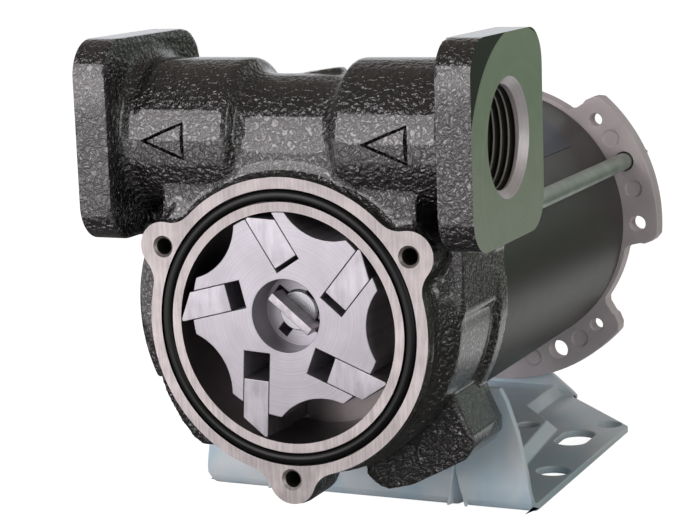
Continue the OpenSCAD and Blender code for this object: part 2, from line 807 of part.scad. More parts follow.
module armature_windings() {
    color("#b5683a") placed() on_shaft() {
        winding_end(core_y - winding_len);
        winding_end(core_end);
        for (i = [1 : slot_count]) rotate([0, i * 360 / slot_count, 0]) translate([core_slot_r, 0, 0])
            rod(core_y - overrun, armature_len + 2 * overrun, slot_d - overrun);
    }
}

module commutator() {
    bars = 24;
    color("#b87a4a") placed() on_shaft() slab(commutator_y, commutator_len) difference() {
        circle(d = commutator_d);
        circle(d = core_shaft_d);
        for (i = [1 : bars]) rotate(i * 360 / bars)
            translate([commutator_d / 2 - overrun, -clear]) square([2 * overrun, 2 * clear]);
    }
}

// Card with two brush boxes, seated inside the shell
module brush_box() {
    start = commutator_d / 2 + 3 * mm;
    outer = brush_h + 2 * box_wall + 2 * fit;
    difference() {
        translate([start, card_y - brush_w - box_wall - 2 * fit, -outer / 2])
            cube([box_len, brush_w + box_wall + 2 * fit, outer]);
        translate([start - overrun, card_y - brush_w - 2 * fit, -brush_h / 2 - fit])
            cube([box_len + overrun - box_wall, brush_w + 2 * fit, brush_h + 2 * fit]);
    }
}

module brush_plate() {
    color("#7a4b2a") placed() on_shaft() {
        rod(card_y, card_t, 2 * (shell_in_r - fit), commutator_d + 8 * mm);
        brush_box();
        mirror([1, 0, 0]) brush_box();
    }
}

module brush(side) {
    start = commutator_d / 2 + fit;
    color("#2b2b2d") placed() on_shaft() mirror([side, 0, 0])
        translate([start, brush_y - fit, -brush_h / 2]) cube([brush_len, brush_w, brush_h]);
}

module brush_1() { brush(0); }
module brush_2() { brush(1); }

module brush_spring(side) {
    start = commutator_d / 2 + fit + brush_len;
    end = commutator_d / 2 + 3 * mm + box_len - box_wall;
    color("#a8a9ad") placed() on_shaft() mirror([side, 0, 0])
        translate([start, brush_y + brush_w / 2, 0]) rotate([0, 90, 0]) difference() {
            cylinder(h = end - start, d = brush_h - 2 * clear);
            translate([0, 0, -overrun]) cylinder(h = end - start + 2 * overrun, d = brush_h / 2);
        }
}

module brush_spring_1() { brush_spring(0); }
module brush_spring_2() { brush_spring(1); }

// One ear of the end cover: flanks that spread at the ring and turn in at the outer corners
module ear_outline() {
    high = ear_d / 2;
    intersection() {
        circle(high);
        polygon(concat([[0, 0]], ear_side(ear_from, 1), [polar(2 * high, (ear_from + ear_to) / 2)],
            ear_side(ear_to, -1, true)));
    }
}

function ear_side(flank, way, back = false) =
    let(low = cover_d / 2, high = ear_d / 2, side = [polar(low - mm, flank - way * ear_root),
        polar(low + ear_fillet / 4, flank - way * ear_root / 3), polar(low + ear_fillet, flank),
        polar(high - ear_corner_r, flank), polar(high - ear_corner_r / 3, flank + way * ear_lean / 3),
        polar(high + mm, flank + way * ear_lean)])
    back ? [for (i = [len(side) - 1 : -1 : 0]) side[i]] : side;

module end_cover() {
    bowl_r = cover_d / 2 - 4.5 * mm;
    color("#a29ea1") placed() on_shaft() difference() {
        union() {
            slab(cover_y, cover_t) {
                circle(d = cover_d);
                for (q = [0 : 3]) rotate(ear_turn + 90 * q) ear_outline();
            }
            rod(cover_y - cover_spigot_len, cover_spigot_len, 2 * (shell_in_r - fit));
            turned([[0, cover_back - overrun], [bowl_r, cover_back - overrun], [bowl_r, cover_back],
                [bowl_r - cover_bowl, cover_back + cover_bowl], [0, cover_back + cover_bowl]]);
            turned([[0, cover_back], [hub_r, cover_back], [hub_r, hub_back - overrun],
                [hub_r - overrun, hub_back], [0, hub_back]]);
            slab(cover_back, cover_bowl + 3 * mm) for (q = [0 : 3]) rotate(ear_turn + 90 * q)
                translate([0, -1.5 * mm]) square([bowl_r - cover_bowl - overrun, 3 * mm]);
        }
        rod(cover_y - cover_spigot_len - overrun, cover_spigot_len + cover_t + overrun / 2,
            2 * (shell_in_r - cover_spigot_wall));
        rod(cover_y, rear_bearing_y + rear_bearing_w + wave_t - cover_y, rear_bearing_d);
        for (q = [0 : 3]) rotate([0, -ear_turn - 90 * q, 0]) {
            ear_hole(0, tie_hole_d);
            ear_hole(small_hole_angle, small_hole_d);
            ear_hole(side_hole_angle, side_hole_d);
            for (a = mark_angles) rotate([0, -a, 0]) translate([tie_pcd / 2, 0, 0])
                rod(cover_y - overrun, overrun + mark_depth, mark_d);
        }
        translate([grommet_x, 0, 0]) rod(cover_y, cover_t + cover_bowl + overrun, grommet_d);
    }
}

module ear_hole(a, d) {
    rotate([0, -a, 0]) translate([tie_pcd / 2, 0, 0]) rod(cover_y - overrun, cover_t + 2 * overrun, d);
}

module cable_grommet() {
    lip = 1.5;
    inside = cover_back - overrun / 2;
    outside = cover_back + cover_bowl;
    color("#141414") placed() on_shaft() translate([grommet_x, 0, 0])
        turned([[grommet_bore / 2, inside - lip], [grommet_d / 2 + lip, inside - lip],
            [grommet_d / 2 + lip, inside], [grommet_d / 2 - fit, inside],
            [grommet_d / 2 - fit, outside], [grommet_d / 2 + lip, outside],
            [grommet_d / 2 + lip, outside + lip], [grommet_bore / 2, outside + lip]]);
}

// Two long hexagon bolts from the end cover into the body's lugs
module tie_rods() {
    head_y = cover_back + tie_washer_t;
    color("#a9b0ab") placed() on_shaft() for (a = tie_angles) rotate([0, -a, 0])
        translate([tie_pcd / 2, 0, 0]) {
            rod(tie_start, head_y - tie_start, tie_d);
            rod(cover_back, tie_washer_t, tie_washer_d);
            hexagon_prism(head_y, tie_head_t, tie_head_af);
        }
}

module blank_label() {
    color("#565b66") placed() on_shaft() slab(label_start, label_end - label_start) intersection() {
        difference() {
            circle(shell_d / 2 + label_t);
            circle(shell_d / 2 + fit);
        }
        sector(shell_d, label_angles[0], label_angles[1]);
    }
}

// Foot bracket: one profile bent from sheet, trimmed from the front, the top and the rear
module bend(y, z, r, from) {
    translate([y, z]) intersection() {
        difference() {
            circle(r);
            circle(r - sheet_t);
        }
        rotate(from) square(r + overrun);
    }
}

// A profile of [depth, height] points, stretched across the bracket
module across() {
    translate([-port_x, 0, 0]) rotate([90, 0, 90]) linear_extrude(port_span) children();
}

module upright() {
    half = bracket_w / 2;
    low = -base_drop;
    intersection() {
        across() {
            translate([upright_y, low + bend_r]) square([sheet_t, base_drop]);
            bend(upright_y + bend_r, low + bend_r, bend_r, 180);
        }
        slab(upright_y - overrun, bend_r + overrun) translate([bracket_shift, 0]) difference() {
            polygon(concat([for (p = upright_share) [p.x * half, p.y * base_drop]],
                [[half, low + sheet_t], [half, low - overrun], [-half, low - overrun], [-half, low + sheet_t]],
                [for (i = [4 : -1 : 0]) let (p = upright_share[i]) [-p.x * half, p.y * base_drop]]));
            translate([-bracket_shift, rotor_rise]) circle(shell_d / 2 + arch_gap);
        }
    }
}

module base_plate() {
    half = bracket_w / 2;
    translate([bracket_shift, 0, -base_drop]) linear_extrude(sheet_t)
        polygon([[-half, upright_y + bend_r], [half, upright_y + bend_r], [half, taper_y],
            [tongue_w / 2, tongue_back - tongue_bend_r], [-tongue_w / 2, tongue_back - tongue_bend_r],
            [-half, taper_y]]);
}

module tongue() {
    low = -base_drop;
    hole_z = rotor_rise - ear_hole_drop;
    intersection() {
        across() {
            bend(tongue_back - tongue_bend_r, low + tongue_bend_r, tongue_bend_r, 270);
            translate([tongue_y, low + tongue_bend_r]) square([sheet_t, tongue_top - tongue_bend_r]);
        }
        slab(tongue_back - tongue_bend_r, tongue_bend_r + overrun) translate([bracket_shift, 0]) {
            polygon([[-tongue_w / 2, low - overrun], [tongue_w / 2, low - overrun],
                [tongue_w / 2, low + sheet_t], [tongue_screw_head, hole_z],
                [-tongue_screw_head, hole_z], [-tongue_w / 2, low + sheet_t]]);
            translate([0, hole_z]) circle(tongue_screw_head);
        }
    }
}

// Block left of the line from p to q, with a side that leans out at 45 degrees below its top
module leaning_block(p, q, low, high, inset) {
    turn = atan2(q.y - p.y, q.x - p.x);
    translate([p.x, p.y, 0]) rotate(turn) translate([-port_span, 0, 0]) rotate([90, 0, 90])
        linear_extrude(3 * port_span) polygon([[inset - high + low, low], [port_span, low],
            [port_span, high], [inset, high]]);
}

module leaning_pair(p, q, low, high, inset) {
    intersection() {
        leaning_block(p, q, low, high, inset);
        mirror([1, 0, 0]) leaning_block(p, q, low, high, inset);
    }
}

// The raised middle of the base (lift 0) and the hollow under it (lift 1): wide in front,
// drawn in to a neck that runs to the tongue
module crest_solid(lift) {
    low = -base_drop + (lift > 0 ? -overrun : sheet_t / 2);
    high = -base_drop + raise_h + (lift > 0 ? 0 : sheet_t);
    inset = lift * sheet_t * tan(45 / 2);
    end = lift > 0 ? tongue_y - 2 * sheet_t : tongue_y + sheet_t / 2;
    points = [for (share = crest_share)
        [share.x * bracket_w / 2, upright_back + bend_r + share.y * (tongue_y - upright_back - bend_r)]];
    translate([bracket_shift, 0, 0]) {
        intersection() {
            leaning_pair(points[0], points[1], low, high, inset);
            leaning_pair(points[1], points[2], low, high, inset);
            leaning_block([-port_x, points[0].y], [port_x, points[0].y], low, high, inset);
        }
        intersection() {
            leaning_pair(points[2], points[3], low, high, inset);
            translate([-port_x, points[1].y, low]) cube([port_span, end - points[1].y, high - low]);
        }
    }
}

module dart(side, lift) {
    x = bracket_shift + side * dart_share * bracket_w / 2;
    back = upright_back - lift * sheet_t;
    base = -base_drop + sheet_t * (1 - lift);
    polyhedron([[x, back - sheet_t / 2, base + dart_h], [x, back + dart_h, base - sheet_t / 2],
        [x - dart_half, back - sheet_t / 2, base - sheet_t / 2],
        [x + dart_half, back - sheet_t / 2, base - sheet_t / 2]],
        [[0, 2, 1], [0, 1, 3], [1, 2, 3], [0, 3, 2]]);
}

module foot_bracket() {
    color("#b9c6cc") placed() difference() {
        union() {
            upright();
            base_plate();
            tongue();
            crest_solid(0);
            for (side = [-1, 1]) dart(side, 0);
        }
        crest_solid(1);
        for (side = [-1, 1]) dart(side, 1);
        for (side = [-1, 1]) {
            foot_cut(side * foot_hole_gap / 2, front_hole_y, foot_hole_d);
            foot_cut(side * foot_hole_gap / 2, taper_y, back_hole_d);
            foot_cut(side * slot_hole_x, slot_hole_y, foot_hole_d, slot_hole_len);
            foot_cut(side * crest_hole_share * bracket_w / 2, slot_hole_y, crest_hole_d);
        }
        on_shaft() {
            for (a = bolt_angles) rotate([0, -a, 0]) translate([bolt_reach, 0, 0])
                rod(upright_y - overrun, sheet_t + 2 * overrun, bolt_d + 2 * clear);
            translate([0, 0, -ear_hole_drop])
                rod(tongue_y - overrun, sheet_t + 2 * overrun, tongue_screw_d + 2 * clear);
        }
    }
}

module foot_cut(x, y, d, long = 0) {
    reach = long > 0 ? (long - d) / 2 : 0;
    translate([x + bracket_shift, y, -base_drop - overrun])
        linear_extrude(raise_h + sheet_t + 2 * overrun) {
            for (end = [-1, 1]) translate([0, end * reach]) circle(d = d);
            if (reach > 0) square([d, 2 * reach], center = true);
        }
}

module bracket_bolts() {
    head_y = upright_back + bolt_washer_t;
    color("#c3c8ca") placed() on_shaft() {
        for (a = bolt_angles) rotate([0, -a, 0]) translate([bolt_reach, 0, 0]) {
            rod(upright_y - bolt_len + overrun, head_y - upright_y + bolt_len - overrun, bolt_d);
            hexagon_prism(head_y, bolt_head_t, bolt_head_af);
        }
        translate([0, 0, -ear_hole_drop]) {
            rod(cover_y + overrun, tongue_back + bolt_washer_t - cover_y - overrun, tongue_screw_d);
            hexagon_prism(tongue_back + bolt_washer_t, bolt_head_t, tongue_screw_head);
        }
    }
}

module bracket_washers() {
    color("#c3c8ca") placed() on_shaft() {
        for (a = bolt_angles) rotate([0, -a, 0]) translate([bolt_reach, 0, 0])
            rod(upright_back, bolt_washer_t, bolt_washer_d, bolt_d + 2 * fit);
        translate([0, 0, -ear_hole_drop])
            rod(tongue_back, bolt_washer_t, bolt_washer_d, tongue_screw_d + 2 * fit);
    }
}

pump_body();
cover_o_ring();
rotor();
vane_1();
vane_2();
vane_3();
vane_4();
vane_5();
drive_key();
rear_thrust_washer();
shaft_seal();
bypass_poppet();
bypass_spring();
bypass_retainer();
motor_shaft();
front_bearing_outer_ring();
front_bearing_inner_ring();
front_bearing_balls();
rear_bearing_outer_ring();
rear_bearing_inner_ring();
rear_bearing_balls();
bearing_wave_washer();
motor_shell();
field_magnets();
armature_core();
armature_windings();
commutator();
brush_plate();
brush_1();
brush_2();
brush_spring_1();
brush_spring_2();
end_cover();
cable_grommet();
tie_rods();
blank_label();
foot_bracket();
bracket_bolts();
bracket_washers();
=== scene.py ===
"""Looks of the electric vane pump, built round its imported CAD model."""

import math

import bmesh
import bpy
from mathutils import Matrix, Vector


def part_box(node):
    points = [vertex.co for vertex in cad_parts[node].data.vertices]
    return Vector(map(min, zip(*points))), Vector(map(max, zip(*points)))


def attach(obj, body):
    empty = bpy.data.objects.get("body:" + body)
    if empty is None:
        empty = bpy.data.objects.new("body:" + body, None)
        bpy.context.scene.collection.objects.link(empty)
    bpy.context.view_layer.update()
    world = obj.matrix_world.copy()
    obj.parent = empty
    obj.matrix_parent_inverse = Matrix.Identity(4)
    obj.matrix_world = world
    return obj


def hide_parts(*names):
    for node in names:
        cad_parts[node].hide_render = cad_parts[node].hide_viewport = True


bl_info = {
    "name": "Electric Vane Pump",
    "version": (1, 0, 0),
    "blender": (4, 5, 0),
    "location": "3D View > Sidebar > Pump",
    "description": "Builds the castings, machined parts, finishes and studio of an electric vane pump",
    "category": "Object",
}

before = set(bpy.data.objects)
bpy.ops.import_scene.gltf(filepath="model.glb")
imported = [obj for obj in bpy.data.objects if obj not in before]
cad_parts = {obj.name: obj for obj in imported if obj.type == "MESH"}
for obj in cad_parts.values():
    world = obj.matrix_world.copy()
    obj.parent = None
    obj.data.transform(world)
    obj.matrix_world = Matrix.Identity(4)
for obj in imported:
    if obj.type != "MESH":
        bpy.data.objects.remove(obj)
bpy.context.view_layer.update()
MM = 0.001

# Sizes and places in millimetres. Places are from the chamber's centre on the machined rim:
# X right, Y towards the motor, Z up.
ROTOR_RISE = 3.7
CHAMBER_R, CHAMBER_DEPTH = 34.6, 27
GROOVE_IN_R, GROOVE_OUT_R, GROOVE_DEPTH = 37.4, 41.3, 3
RIM_R, RIM_REACH = 44.7, 53.6
LUG_ANGLES = (30, 150, 270)
LUG_CIRCLE_R, LUG_FACE_R = 45.65, 9
LUG_HOLE_R, LUG_HOLE_DEPTH = 2.5, 14
LUG_LEAD_IN, LUG_LEAD_DEPTH, LUG_DRILL_POINT = 1.8, 0.8, 1.4
PORT_X, PORT_Y, PORT_Z = 62.4, 21.7, 54.5
PORT_THREAD_R, PORT_MOUTH_R = 15.15, 17.5
PORT_THREAD_DEPTH, PORT_DEPTH = 19, 26
THREAD_PITCH, THREAD_HEIGHT, THREAD_START = 2.309, 1.45, 2.6
THREAD_TURNS, THREAD_STEPS = 6, 64
BOSS_R = 22.8
ARROW_TIPS, ARROW_LEN, ARROW_H, ARROW_DEPTH = (-42.7, 28.1), 11.5, 10, 1.6
ARROW_GROW, ARROW_LEAN, ARROW_MIDDLE_SHARE = 1.38, 1.95, 0.715
FACING_Y, FACING_Z, FACING_R = 30.2, 44, 41.6
WAIST_X, WAIST_Y, WAIST_Z, WAIST_H = 22, 12, 46, 9
STOCK = 2
OVERRUN = 1
FACING_CUT, FLANGE_CUT, FLANGE_CUT_R = 8, 6, 60

# Tolerances in metres, and how often the casting's skin is smoothed
SAME_SPOT, SAME_PLANE, ON_FACE = 2e-6, 1e-6, 3e-5
SKIN_PASSES, WAIST_PASSES = 2, 14

# Camera, fitted to the photograph: place in millimetres, angles in degrees
CAMERA_SPOT = (261.41, -631.64, 190.99)
CAMERA_TURN, CAMERA_DIP, CAMERA_ROLL = 24.26, 10.12, -1.99
CAMERA_LENS, CAMERA_SENSOR = 106.8, 36

# Light of the front softbox and of the floor that the camera sees, and the lamps, in metres and watts
FRONT_GLOW, FLOOR_GLOW = 3.5, 0.86
LAMP_AIM = (0, -0.06, 0.08)
LAMPS = {
    "front_softbox": ((-0.5, -1.12, 0.42), (0.8, 0.85), FRONT_GLOW * math.pi * 0.8 * 0.85, (1, 0.95, 0.98)),
    "rear_window": ((-0.2, 1.3, 0.5), (1.5, 0.6), 1.1, (0.95, 0.97, 1)),
    "right_fill": ((1.2, -0.5, 0.45), (0.5, 0.8), 2.4, (1, 1, 1)),
}


def origin_of_drafting():
    """Where the chamber's centre on the machined rim lies in the frame, in metres."""
    ring_low, ring_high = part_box("cover_o_ring")
    rotor_below_rim = 0.2 * MM
    return Vector((0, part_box("rotor")[0].y - rotor_below_rim, (ring_low.z + ring_high.z) / 2))


ORIGIN = origin_of_drafting()


def at(x, y, z):
    """A drafting place in millimetres as a point of the frame in metres."""
    return ORIGIN + Vector((x, y, z)) * MM


def around(radius, degrees):
    """A place on the rim's plane, at an angle round the chamber."""
    turn = math.radians(degrees)
    return at(radius * math.cos(turn), 0, radius * math.sin(turn))


# Shader nodes
class Shade:
    """A socket of a node tree. Python's operators on it add Math nodes."""

    def __init__(self, graph, socket):
        self.graph = graph
        self.socket = socket

    def maths(self, operation, *values):
        return self.graph.node("ShaderNodeMath", {"operation": operation}, dict(enumerate(values)))

    def __add__(self, other):
        return self.maths("ADD", self, other)

    __radd__ = __add__

    def __sub__(self, other):
        return self.maths("SUBTRACT", self, other)

    def __rsub__(self, other):
        return self.maths("SUBTRACT", other, self)

    def __mul__(self, other):
        return self.maths("MULTIPLY", self, other)

    __rmul__ = __mul__

    def ramp(self, low, high):
        """0 up to low, 1 from high on, and smooth between them."""
        return self.graph.node("ShaderNodeMapRange", {"interpolation_type": "SMOOTHSTEP"},
                               {0: self, 1: low, 2: high})


class Graph:
    """A node tree, with one method that adds any node."""

    def __init__(self, tree):
        self.tree = tree

    def put(self, socket, value):
        if isinstance(value, Shade):
            self.tree.links.new(value.socket, socket)
        elif isinstance(value, tuple) and socket.type == "RGBA" and len(value) == 3:
            socket.default_value = (*value, 1)
        else:
            socket.default_value = value

    def node(self, kind, settings=None, inputs=None, output=0):
        node = self.tree.nodes.new(kind)
        for key, value in (settings or {}).items():
            setattr(node, key, value)
        for key, value in (inputs or {}).items():
            self.put(node.inputs[key], value)
        return Shade(self, node.outputs[output])

    def blend(self, factor, first, second):
        """The first colour at factor 0 and the second at 1."""
        return self.node("ShaderNodeMix", {"data_type": "RGBA"}, {0: factor, 6: first, 7: second}, output=2)


class Finish(Graph):
    """A material on the Principled shader."""

    def __init__(self, name, colour, **sockets):
        self.material = bpy.data.materials.new(name)
        self.material.use_nodes = True
        super().__init__(self.material.node_tree)
        self.shader = self.tree.nodes["Principled BSDF"]
        self.shader.inputs["Base Color"].default_value = (*colour, 1)
        for key, value in sockets.items():
            self.feed(key.replace("_", " "), value)
        self.place = self.node("ShaderNodeTexCoord", output="Object")

    def feed(self, name, value):
        """Sets or links one of the Principled shader's own sockets."""
        self.put(self.shader.inputs[name], value)

    def axis(self, letter):
        return self.node("ShaderNodeSeparateXYZ", inputs={0: self.place}, output=letter)

    def stretched(self, scale=(1, 1, 1), turn=(0, 0, 0), centre=(0, 0, 0)):
        """The place moved to a centre, turned, and scaled."""
        moved = self.node("ShaderNodeVectorMath", {"operation": "SUBTRACT"}, {0: self.place, 1: centre})
        return self.node("ShaderNodeMapping", {"vector_type": "POINT"},
                         {"Vector": moved, "Rotation": turn, "Scale": scale})

    def noise(self, size, detail=2, rough=0.5, where=None, distortion=0):
        """Even noise whose lumps are about size metres across, from 0 to 1."""
        return self.node("ShaderNodeTexNoise", inputs={
            "Vector": where or self.place, "Scale": 1 / size, "Detail": detail,
            "Roughness": rough, "Distortion": distortion})

    def from_line(self, axis, centre):
        """Distance from a line through centre, along the named axis."""
        flat = {"X": (0, 1, 1), "Y": (1, 0, 1)}[axis]
        return self.node("ShaderNodeVectorMath", {"operation": "LENGTH"},
                         {0: self.stretched(flat, centre=tuple(centre))}, output="Value")

    def rings(self, distance, pitch, rough=0.6):
        """Noise that changes with a distance alone, about every pitch metres."""
        return self.node("ShaderNodeTexNoise", {"noise_dimensions": "1D"},
                         {"W": distance * (1 / pitch), "Scale": 1, "Detail": 2, "Roughness": rough})

    def bump(self, height, depth):
        """A surface normal from a height of 0 to 1 that stands for depth metres."""
        return self.node("ShaderNodeBump", inputs={"Strength": 1, "Distance": depth, "Height": height})


# Finishes
def linear(red, green, blue):
    """Linear colour of a colour as it is seen, from 0 to 255."""
    return tuple((c / 255 / 12.92) if c <= 10 else ((c / 255 + 0.055) / 1.055) ** 2.4
                 for c in (red, green, blue))


def tinted(colour, share):
    """A colour times one share, or times one for each channel."""
    shares = share if isinstance(share, tuple) else (share,) * 3
    return tuple(c * k for c, k in zip(colour, shares))


def enamel_finish(colour):
    """Gloss paint with small worm-like lumps over slow swells, as a casting shows through it."""
    f = Finish("black_enamel", colour, IOR=1.8, Coat_Weight=1, Coat_Roughness=0.08)
    worms = f.noise(1.6 * MM, 1, distortion=0.5)
    swell = f.noise(7 * MM)
    f.feed("Normal", f.bump(worms.ramp(0.3, 0.7) + swell * 0.45, 0.62 * MM))
    f.feed("Roughness", 0.1 + 0.1 * f.noise(3 * MM, 3))
    f.feed("Base Color", f.blend(swell.ramp(0.3, 0.8), tinted(colour, 0.7), tinted(colour, 1.3)))
    return f.material


def flange_finish(iron, enamel):
    """Flange face turned to a round zone. The corners outside it keep the enamel, which is tinted green as a
    painted reflection.
    """
    f = Finish("milled_flange", iron)
    radius = f.from_line("X", at(0, FACING_Y, FACING_Z))
    edge = 0.25
    faced = 1 - radius.ramp((FACING_R - edge) * MM, (FACING_R + edge) * MM)
    fine, broad = f.rings(radius, 0.8 * MM), f.rings(radius, 4 * MM)
    # painted reflection and light: the turned face is darker and greener high up and lighter low down, over
    # random tool marks
    low = 1 - f.axis("Z").ramp(at(0, 0, PORT_Z - 26).z, at(0, 0, PORT_Z + 18).z)
    cloud = f.noise(6 * MM, 3)
    tone_and_painted_light = (0.35 * fine + 0.4 * broad + 0.45 * cloud + 0.5 * low - 0.3).ramp(0.15, 1.0)
    metal = f.blend(tone_and_painted_light, tinted(iron, (0.78, 0.88, 0.76)), tinted(iron, 1.05))
    f.feed("Base Color", f.blend(faced, enamel, metal))
    f.feed("Metallic", faced)
    f.feed("Roughness", 0.26 + faced * (0.2 + 0.1 * fine + 0.06 * cloud))
    f.feed("Normal", f.bump(fine * 0.1 + broad * 0.25 + (1 - faced) * 2, 0.05 * MM))
    return f.material


def machined_finish(name, colour, lines, depth, rough, top_shade=1):
    """Straight tool marks, lines of them to a metre along each axis. The last argument paints shade: it is the
    share of colour kept where the face lies high.
    """
    f = Finish(name, colour, Metallic=1)
    tracks = f.node("ShaderNodeTexNoise", inputs={
        "Vector": f.stretched(lines, (0, 0, 0.35)), "Scale": 1, "Detail": 3, "Roughness": 0.6})
    cloud = f.noise(7 * MM, 3)
    # painted shade: the colour darkens where the face lies high
    high = f.axis("Z").ramp(0.03, 0.12)
    dark, pale = (f.blend(high, tinted(colour, share), tinted(colour, share * top_shade)) for share in (0.68, 1.15))
    f.feed("Base Color", f.blend((tracks * 0.6 + cloud * 0.5).ramp(0.3, 0.8), dark, pale))
    f.feed("Roughness", (rough - 0.06) + 0.14 * tracks + 0.06 * cloud)
    f.feed("Normal", f.bump(tracks, depth * MM))
    return f.material


def lathe_finish(name, colour, centre, axis="Y", rough=0.3, pitch=0.35, depth=0.01, metallic=1):
    """Fine rings left by a turning tool, about an axis through centre."""
    f = Finish(name, colour, Metallic=metallic)
    rings = f.rings(f.from_line(axis, centre), pitch * MM, 0.7)
    cloud = f.noise(9 * MM, 3)
    f.feed("Base Color", f.blend((rings * 0.5 + cloud * 0.5).ramp(0.3, 0.75),
                                 tinted(colour, 0.8), tinted(colour, 1.08)))
    f.feed("Roughness", rough - 0.05 + 0.12 * rings + 0.06 * cloud)
    f.feed("Normal", f.bump(rings, depth * MM))
    return f.material


def plain_finish(name, colour, metallic=0, rough=0.5, grain=0.8, depth=0.02, spread=0.2, **sockets):
    """A surface with fine grain, cloudy colour and uneven gloss."""
    f = Finish(name, colour, Metallic=metallic, **sockets)
    fine = f.noise(grain * MM, 3, 0.6)
    cloud = f.noise(grain * 12 * MM, 3)
    f.feed("Base Color", f.blend(cloud.ramp(0.3, 0.75), tinted(colour, 1 - spread), tinted(colour, 1 + spread)))
    f.feed("Roughness", rough - 0.06 + 0.08 * fine + 0.08 * cloud)
    f.feed("Normal", f.bump(fine, depth * MM))
    return f.material


def zinc_finish(colour):
    """Bright plating with long, slow changes of tint."""
    f = Finish("blue_zinc", colour, Metallic=0.1)
    flow = f.noise(26 * MM, 3, where=f.stretched((1, 0.35, 1)), distortion=1.2)
    fine = f.noise(0.9 * MM, 3, 0.7)
    f.feed("Base Color", f.blend(flow.ramp(0.32, 0.68), colour, tinted(colour, (0.78, 0.9, 0.97))))
    f.feed("Roughness", 0.22 + 0.14 * flow + 0.08 * fine)
    f.feed("Normal", f.bump(fine * 0.6 + flow * 2, 0.04 * MM))
    return f.material


# Meshes
def traced(node, joined=True):
    """The merged mesh of a CAD node. The triangles of each flat face are joined again, where asked."""
    shape = bmesh.new()
    shape.from_mesh(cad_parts[node].data)
    bmesh.ops.remove_doubles(shape, verts=shape.verts, dist=SAME_SPOT)
    if joined:
        bmesh.ops.dissolve_limit(shape, angle_limit=math.radians(0.6), verts=shape.verts, edges=shape.edges)
    return shape


def eased(shape, width, segments=2, angle=28):
    """Bevels every edge sharper than angle degrees, by width millimetres."""
    edges = [e for e in shape.edges if len(e.link_faces) == 2 and e.calc_face_angle(0) > math.radians(angle)]
    bmesh.ops.bevel(shape, geom=edges, offset=width * MM, offset_type="OFFSET", segments=segments,
                    profile=0.5, affect="EDGES", clamp_overlap=False, material=-1)
    return shape


def smoothed(shape, verts, passes):
    """Evens out the given corners of a mesh."""
    for _ in range(passes):
        bmesh.ops.smooth_vert(shape, verts=verts, factor=0.5, use_axis_x=True, use_axis_y=True,
                              use_axis_z=True)


def piece(name, shape, body, slot, *materials, replaces, smooth=40, weighted=True):
    """Makes a mesh an object that rides on a CAD body in place of a CAD node."""
    mesh = bpy.data.meshes.new(name)
    shape.to_mesh(mesh)
    shape.free()
    for material in materials:
        mesh.materials.append(material)
    mesh.shade_smooth()
    mesh.set_sharp_from_angle(angle=math.radians(smooth))
    made = bpy.data.objects.new(name, mesh)
    bpy.context.scene.collection.objects.link(made)
    if weighted:
        flat = made.modifiers.new("flat_faces", "WEIGHTED_NORMAL")
        flat.keep_sharp = True
    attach(made, body)
    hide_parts(*replaces)


def dress(node, material):
    """Gives a CAD node that stays in view a better material."""
    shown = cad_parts[node]
    shown.data.materials.clear()
    shown.data.materials.append(material)


def temporary(shape):
    """A mesh as an object that is deleted again later."""
    mesh = bpy.data.meshes.new("temporary")
    shape.to_mesh(mesh)
    shape.free()
    made = bpy.data.objects.new("temporary", mesh)
    bpy.context.scene.collection.objects.link(made)
    return made


def discard(made):
    mesh = made.data
    bpy.data.objects.remove(made)
    bpy.data.meshes.remove(mesh)


def finished_mesh(made):
    """The mesh of an object with its modifiers applied. The object is deleted."""
    graph = bpy.context.evaluated_depsgraph_get()
    shape = bmesh.new()
    shape.from_object(made, graph)
    discard(made)
    return shape


def spun(profile, centre, axis, steps):
    """A closed profile of points in metres, spun once about an axis through centre."""
    shape = bmesh.new()
    corners = [shape.verts.new(p) for p in profile]
    edges = [shape.edges.new((a, b)) for a, b in zip(corners, corners[1:] + corners[:1])]
    bmesh.ops.spin(shape, geom=corners + edges, cent=centre, axis=axis, angle=math.tau, steps=steps,
                   use_merge=True, use_normal_flip=False, use_duplicate=False)
    bmesh.ops.recalc_face_normals(shape, faces=shape.faces)
    return shape


def cutter(profile, centre, axis, steps=96):
    """A solid of revolution as a temporary object. Profile points are (radius, distance) in millimetres."""
    along = Vector(axis)
    across = Vector((1, 0, 0)) if abs(along.x) < 0.5 else Vector((0, 0, 1))
    shape = bmesh.new()
    corners = [shape.verts.new(centre + (across * r + along * d) * MM) for r, d in profile]
    for a, b in zip(corners, corners[1:]):
        shape.edges.new((a, b))
    bmesh.ops.spin(shape, geom=shape.verts[:] + shape.edges[:], cent=centre, axis=along, angle=math.tau,
                   steps=steps, use_merge=True)
    bmesh.ops.remove_doubles(shape, verts=shape.verts, dist=SAME_PLANE)
    bmesh.ops.recalc_face_normals(shape, faces=shape.faces)
    return temporary(shape)


def disc_cutter(radius, height, centre, axis, steps):
    """A disc that clears what stands up to height millimetres in front of a flat face."""
    return cutter([(0, -height), (radius, -height), (radius, 0), (0, 0)], centre, axis, steps)


def carved(shape, cutters):
    """The shape less each of the cutters."""
    block = temporary(shape)
    for tool in cutters:
        cut = block.modifiers.new("cut", "BOOLEAN")
        cut.operation = "DIFFERENCE"
        cut.solver = "EXACT"
        cut.object = tool
    result = finished_mesh(block)
    for tool in cutters:
        discard(tool)
    return result


# Properties
class PumpSizes(bpy.types.PropertyGroup):
    """Sizes of the dressing, in metres."""
    casting_cell: bpy.props.FloatProperty(
        name="Casting cell", description="Size of the cells in which the casting's skin is rebuilt",
        default=0.85 * MM, min=0.6 * MM, max=2 * MM, subtype="DISTANCE", unit="LENGTH")
    edge: bpy.props.FloatProperty(
        name="Edge", description="Width of the small bevel on machined edges",
        default=0.25 * MM, min=0.05 * MM, max=1 * MM, subtype="DISTANCE", unit="LENGTH")


